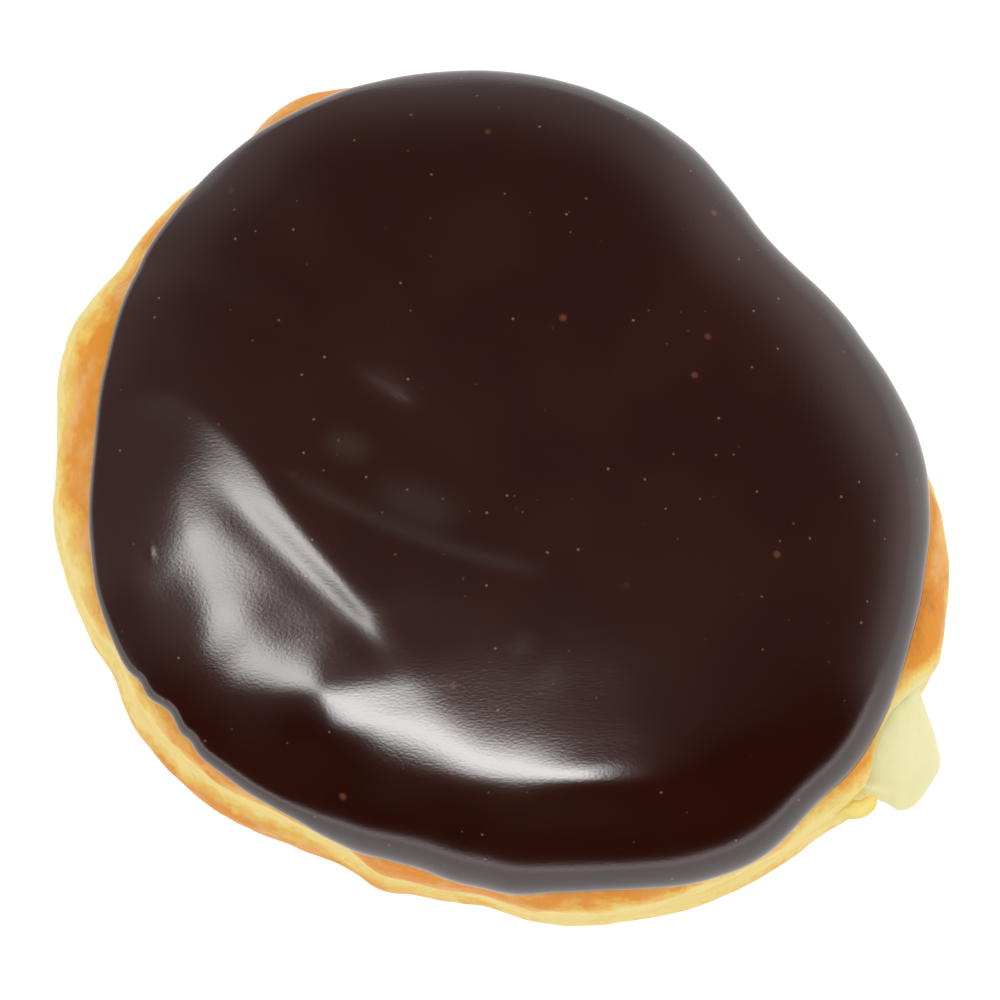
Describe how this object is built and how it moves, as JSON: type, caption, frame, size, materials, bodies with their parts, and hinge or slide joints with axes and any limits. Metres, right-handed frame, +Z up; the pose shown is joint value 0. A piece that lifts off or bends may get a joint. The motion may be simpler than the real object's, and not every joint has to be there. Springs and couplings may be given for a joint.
{
  "type": "custard-filled chocolate-iced doughnut",
  "caption": "Round fried doughnut with a pale belt, a poured glossy chocolate cap and custard squeezing out of the filling hole in its side.",
  "frame": {"origin": "middle of the flat underside the doughnut rests on", "axes": "+Z up through the icing, -Y towards the viewer of the picture, +X to the viewer's right; the filling hole faces about 33 degrees from +X towards -Y"},
  "size_m": [0.0901, 0.0854, 0.0398],
  "materials": {
    "dough": "fried crust, golden brown above and below a pale yellow belt, slightly oily",
    "chocolate_icing": "dark chocolate icing, glossy, poured, with a few fine specks",
    "custard": "pale yellow custard, moist, softly translucent"
  },
  "bodies": {
    "root": {"dough": "dough", "chocolate_icing": "chocolate_icing", "custard": "custard"}
  },
  "joints": []
}
